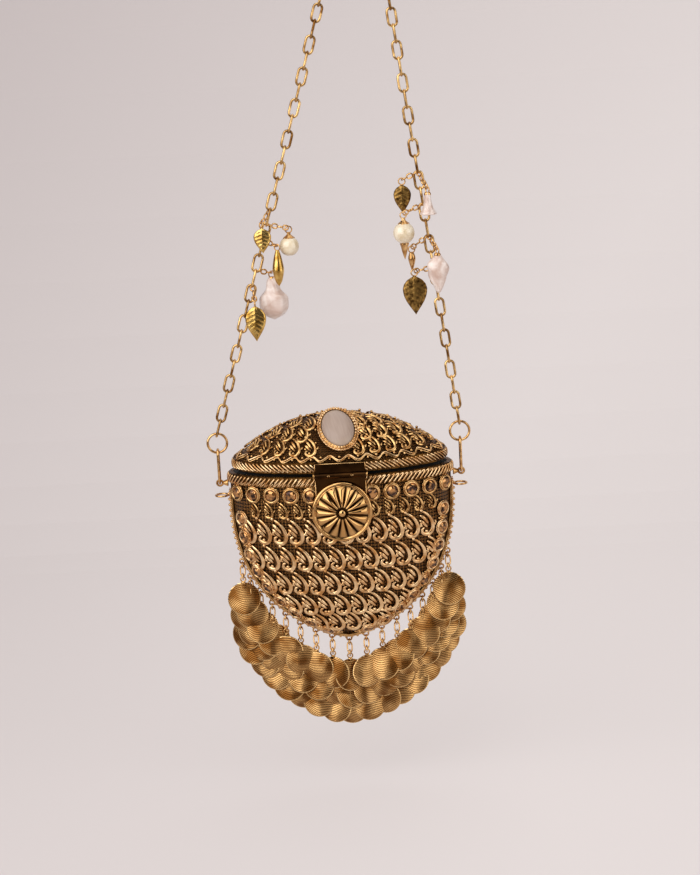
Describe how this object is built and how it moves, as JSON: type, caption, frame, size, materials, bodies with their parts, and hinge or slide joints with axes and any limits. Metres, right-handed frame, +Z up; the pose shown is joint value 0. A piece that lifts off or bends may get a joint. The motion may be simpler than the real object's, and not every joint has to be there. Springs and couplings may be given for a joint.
{
  "type": "evening bag",
  "caption": "Small hard pouch bag of gilt metal with a hinged domed lid, a flap clasp with a fluted button, a disc fringe and a chain with charms",
  "frame": {"origin": "centre of the level middle link of the chain, where the bag is hung", "axes": "+Z up along the hanging bag, +X to the right of someone facing its front, the front with the clasp faces -Y"},
  "size_m": [0.1504, 0.0684, 0.4845],
  "materials": {
    "gilt": "gilt metal, satin",
    "old_gilt": "darkened gilt, satin",
    "disc_gilt": "fine brushed gilt",
    "bright_gilt": "polished gilt",
    "velvet": "short black flock",
    "cat_eye": "polished, milky",
    "pearl": "pearly lustre",
    "shell_white": "smooth, pinkish white"
  },
  "bodies": {
    "strap": {"chain_left": "bright_gilt", "chain_right": "bright_gilt", "hang_link": "bright_gilt", "round_ring_left": "bright_gilt", "round_ring_right": "bright_gilt", "side_loop_left": "bright_gilt", "side_loop_right": "bright_gilt"},
    "bag": {"catch_stud": "old_gilt", "fringe_drop_01": "disc_gilt", "fringe_drop_02": "disc_gilt", "fringe_drop_03": "disc_gilt", "fringe_drop_04": "disc_gilt", "fringe_drop_05": "disc_gilt", "fringe_drop_06": "disc_gilt", "fringe_drop_07": "disc_gilt", "fringe_drop_08": "disc_gilt", "fringe_drop_09": "disc_gilt", "fringe_drop_10": "disc_gilt", "fringe_drop_11": "disc_gilt", "fringe_drop_12": "disc_gilt", "fringe_drop_13": "disc_gilt", "fringe_drop_14": "disc_gilt", "fringe_drop_15": "disc_gilt", "fringe_drop_16": "disc_gilt", "fringe_drop_17": "disc_gilt", "hinge_leaf_body": "old_gilt", "hinge_pin": "gilt", "lining": "velvet", "rim_band": "old_gilt", "seam_trim": "gilt", "shell_back": "gilt", "shell_front": "gilt", "side_eye_left": "gilt", "side_eye_right": "gilt", "spare_ring_left": "bright_gilt", "spare_ring_right": "bright_gilt"},
    "lid": {"lid_shell": "gilt", "lid_band": "old_gilt", "lid_lining": "velvet", "hinge_leaf_lid": "old_gilt", "clasp_bracket": "old_gilt", "clasp_pin": "gilt", "stone": "cat_eye", "stone_rim": "gilt"},
    "clasp": {"clasp_flap": "old_gilt", "clasp_button": "bright_gilt"},
    "charm_bell": {"charm_bell": "shell_white"},
    "charm_conch": {"charm_conch": "shell_white"},
    "charm_leaf_dark": {"charm_leaf_dark": "old_gilt"},
    "charm_leaf_ribbed": {"charm_leaf_ribbed": "gilt"},
    "charm_leaf_slim": {"charm_leaf_slim": "gilt"},
    "charm_leaf_veined": {"charm_leaf_veined": "gilt"},
    "charm_pearl_left": {"charm_pearl_left": "pearl"},
    "charm_pearl_right": {"charm_pearl_right": "pearl"},
    "charm_seed": {"charm_seed": "bright_gilt"},
    "charm_spike": {"charm_spike": "gilt"},
    "charm_tulip": {"charm_tulip": "shell_white"}
  },
  "joints": [
    {"name": "bag_swing", "type": "hinge", "parent": "strap", "child": "bag", "pos_m": [-0.027, 0, -0.32791], "axis": [1, 0, 0], "range_deg": [-60, 60]},
    {"name": "lid_hinge", "type": "hinge", "parent": "bag", "child": "lid", "pos_m": [-0.027, 0.03238, -0.32311], "axis": [-1, 0, 0], "range_deg": [0, 100]},
    {"name": "clasp_hinge", "type": "hinge", "parent": "lid", "child": "clasp", "pos_m": [-0.027, -0.02882, -0.32311], "axis": [-1, 0, 0], "range_deg": [0, 100]},
    {"name": "charm_bell_swing", "type": "hinge", "parent": "strap", "child": "charm_bell", "pos_m": [0.0292, -0.008, -0.16836], "axis": [-0.8675, -0.4975, 0], "range_deg": [-3, 45]},
    {"name": "charm_conch_swing", "type": "hinge", "parent": "strap", "child": "charm_conch", "pos_m": [0.0332, -0.0084, -0.20216], "axis": [-0.8927, -0.4507, 0], "range_deg": [-3, 45]},
    {"name": "charm_leaf_dark_swing", "type": "hinge", "parent": "strap", "child": "charm_leaf_dark", "pos_m": [0.0203, 0, -0.21486], "axis": [0, 1, 0], "range_deg": [-3, 45]},
    {"name": "charm_leaf_ribbed_swing", "type": "hinge", "parent": "strap", "child": "charm_leaf_ribbed", "pos_m": [-0.0632, -0.006, -0.18326], "axis": [-0.7622, 0.6473, 0], "range_deg": [-3, 45]},
    {"name": "charm_leaf_slim_swing", "type": "hinge", "parent": "strap", "child": "charm_leaf_slim", "pos_m": [0.0156, 0.0015, -0.16386], "axis": [0.1642, 0.9864, 0], "range_deg": [-3, 45]},
    {"name": "charm_leaf_veined_swing", "type": "hinge", "parent": "strap", "child": "charm_leaf_veined", "pos_m": [-0.0696, -0.007, -0.22626], "axis": [-0.9871, -0.1602, 0], "range_deg": [-3, 45]},
    {"name": "charm_pearl_left_swing", "type": "hinge", "parent": "strap", "child": "charm_pearl_left", "pos_m": [-0.0487, -0.001, -0.18696], "axis": [-0.0835, -0.9965, 0], "range_deg": [-3, 45]},
    {"name": "charm_pearl_right_swing", "type": "hinge", "parent": "strap", "child": "charm_pearl_right", "pos_m": [0.0154, -0.004, -0.18206], "axis": [-0.3315, 0.9435, 0], "range_deg": [-3, 45]},
    {"name": "charm_seed_swing", "type": "hinge", "parent": "strap", "child": "charm_seed", "pos_m": [-0.0554, -0.006, -0.19616], "axis": [-0.6118, -0.791, 0], "range_deg": [-3, 45]},
    {"name": "charm_spike_swing", "type": "hinge", "parent": "strap", "child": "charm_spike", "pos_m": [0.0194, 0.003, -0.20216], "axis": [0.2994, 0.9541, 0], "range_deg": [-3, 45]},
    {"name": "charm_tulip_swing", "type": "hinge", "parent": "strap", "child": "charm_tulip", "pos_m": [-0.0594, 0.0026, -0.21196], "axis": [0.2831, -0.9591, 0], "range_deg": [-3, 45]}
  ]
}
